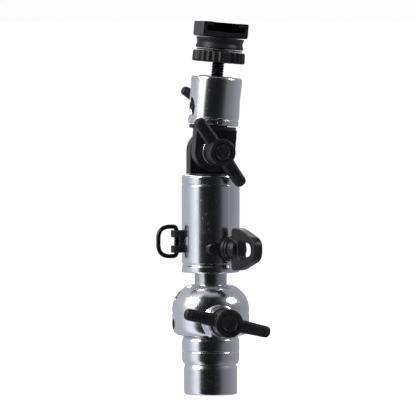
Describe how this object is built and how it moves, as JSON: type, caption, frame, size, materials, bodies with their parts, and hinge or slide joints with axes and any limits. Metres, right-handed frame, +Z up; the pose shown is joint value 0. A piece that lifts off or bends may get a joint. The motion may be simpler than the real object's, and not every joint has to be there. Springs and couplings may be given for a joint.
{
  "type": "umbrella swivel bracket",
  "caption": "Tilting umbrella bracket for a lighting stand: socket with T-handle, turning barrel, friction tilt joint, slanted shaft hole and cold shoe.",
  "frame": {"origin": "centre of the seat at the blind end of the stand socket, on the socket's axis", "axes": "+Z up along the socket's axis, -Y to the front where the T-handles are, +X to the side that the umbrella hole rises to"},
  "size_m": [0.0494, 0.0637, 0.1837],
  "materials": {
    "satin_silver": "satin anodised, turned",
    "bright_steel": "zinc plated",
    "dark_steel": "black oxide",
    "brass": "turned, dull",
    "black_paint": "satin powder coat",
    "black_plastic": "moulded, fine grain",
    "nylon": "natural nylon",
    "fibre": "friction fibre"
  },
  "bodies": {
    "stand_adapter": {"lower_sleeve": "satin_silver", "socket_bush": "nylon", "collar": "satin_silver", "seat_disc": "bright_steel", "spigot": "bright_steel", "spigot_pin": "bright_steel", "sleeve_grub_left": "dark_steel", "sleeve_grub_right": "dark_steel"},
    "stand_shoe": {"stand_lock_shoe": "brass"},
    "stand_lock": {"stand_lock_screw": "bright_steel", "stand_lock_washer": "bright_steel", "stand_lock_grip": "black_plastic", "stand_lock_cap": "black_paint"},
    "barrel_unit": {"barrel": "satin_silver", "pan_bush": "nylon", "key_boss": "black_paint", "ring_bracket": "black_paint", "ring_bracket_screw": "dark_steel", "lower_knuckle": "black_paint", "knuckle_bolt": "bright_steel", "tilt_bolt": "bright_steel"},
    "barrel_pad": {"key_pad": "brass"},
    "barrel_key": {"key_screw": "bright_steel", "key_grip": "black_plastic"},
    "ring": {"cord_ring": "dark_steel"},
    "head": {"upper_knuckle": "black_paint", "friction_disc": "fibre", "head_body": "satin_silver", "head_pin": "bright_steel", "head_stud": "dark_steel"},
    "tilt_thrust": {"tilt_washer": "bright_steel"},
    "tilt_handle": {"tilt_nut": "brass", "tilt_grip": "black_plastic", "tilt_cap": "black_paint"},
    "shaft_pad": {"umbrella_pad": "brass"},
    "shaft_lock": {"umbrella_screw": "bright_steel", "umbrella_grip": "black_plastic"},
    "wheel_washer": {"shoe_washer": "fibre"},
    "lock_wheel": {"shoe_wheel": "black_plastic"},
    "flash_shoe": {"shoe_pedestal": "black_plastic", "shoe_frame": "black_paint", "shoe_spring": "bright_steel", "shoe_screw_front": "dark_steel", "shoe_screw_rear": "dark_steel"}
  },
  "joints": [
    {"name": "pan", "type": "hinge", "parent": "stand_adapter", "child": "barrel_unit", "pos_m": [0, 0, 0.03], "axis": [0, 0, 1], "continuous": true},
    {"name": "tilt", "type": "hinge", "parent": "barrel_unit", "child": "head", "pos_m": [0, 0, 0.0775], "axis": [0, 1, 0], "range_deg": [-90, 80]},
    {"name": "stand_lock_travel", "type": "slide", "parent": "stand_adapter", "child": "stand_shoe", "axis": [0, -1, 0], "range_m": [0, 0.00156]},
    {"name": "stand_lock_turn", "type": "hinge", "parent": "stand_shoe", "child": "stand_lock", "pos_m": [0, 0, -0.0054], "axis": [0, -1, 0], "range_deg": [0, 450]},
    {"name": "barrel_key_travel", "type": "slide", "parent": "barrel_unit", "child": "barrel_pad", "axis": [0.4226, -0.9063, 0], "range_m": [0, 0.00125]},
    {"name": "barrel_key_turn", "type": "hinge", "parent": "barrel_pad", "child": "barrel_key", "pos_m": [0, 0, 0.03], "axis": [0.4226, -0.9063, 0], "range_deg": [0, 450]},
    {"name": "ring_swing", "type": "hinge", "parent": "barrel_unit", "child": "ring", "pos_m": [-0.0174, 0, 0.0334], "axis": [0, 0, 1], "range_deg": [-110, 110]},
    {"name": "tilt_lock_travel", "type": "slide", "parent": "barrel_unit", "child": "tilt_thrust", "axis": [0, -1, 0], "range_m": [0, 0.00125]},
    {"name": "tilt_lock_turn", "type": "hinge", "parent": "tilt_thrust", "child": "tilt_handle", "pos_m": [0, 0, 0.0775], "axis": [0, -1, 0], "range_deg": [0, 450]},
    {"name": "shaft_lock_travel", "type": "slide", "parent": "head", "child": "shaft_pad", "axis": [0, 1, 0], "range_m": [0, 0.001]},
    {"name": "shaft_lock_turn", "type": "hinge", "parent": "shaft_pad", "child": "shaft_lock", "pos_m": [0.00201, 0, 0.10051], "axis": [0, 1, 0], "range_deg": [0, 450]},
    {"name": "wheel_travel", "type": "slide", "parent": "head", "child": "wheel_washer", "axis": [-0.0872, 0, -0.9962], "range_m": [0, 0.00159]},
    {"name": "wheel_turn", "type": "hinge", "parent": "wheel_washer", "child": "lock_wheel", "pos_m": [0.00405, 0, 0.12382], "axis": [-0.0872, 0, -0.9962], "range_deg": [0, 450]},
    {"name": "shoe_swivel", "type": "hinge", "parent": "head", "child": "flash_shoe", "pos_m": [0.00466, 0, 0.1308], "axis": [0.0872, 0, 0.9962], "continuous": true}
  ],
  "couplings": [
    {"joint": "stand_lock_turn", "follows": "stand_lock_travel", "rad_per_m": 5026.5},
    {"joint": "barrel_key_turn", "follows": "barrel_key_travel", "rad_per_m": 6283.2},
    {"joint": "tilt_lock_turn", "follows": "tilt_lock_travel", "rad_per_m": 6283.2},
    {"joint": "shaft_lock_turn", "follows": "shaft_lock_travel", "rad_per_m": 7854},
    {"joint": "wheel_turn", "follows": "wheel_travel", "rad_per_m": 4947.4}
  ]
}
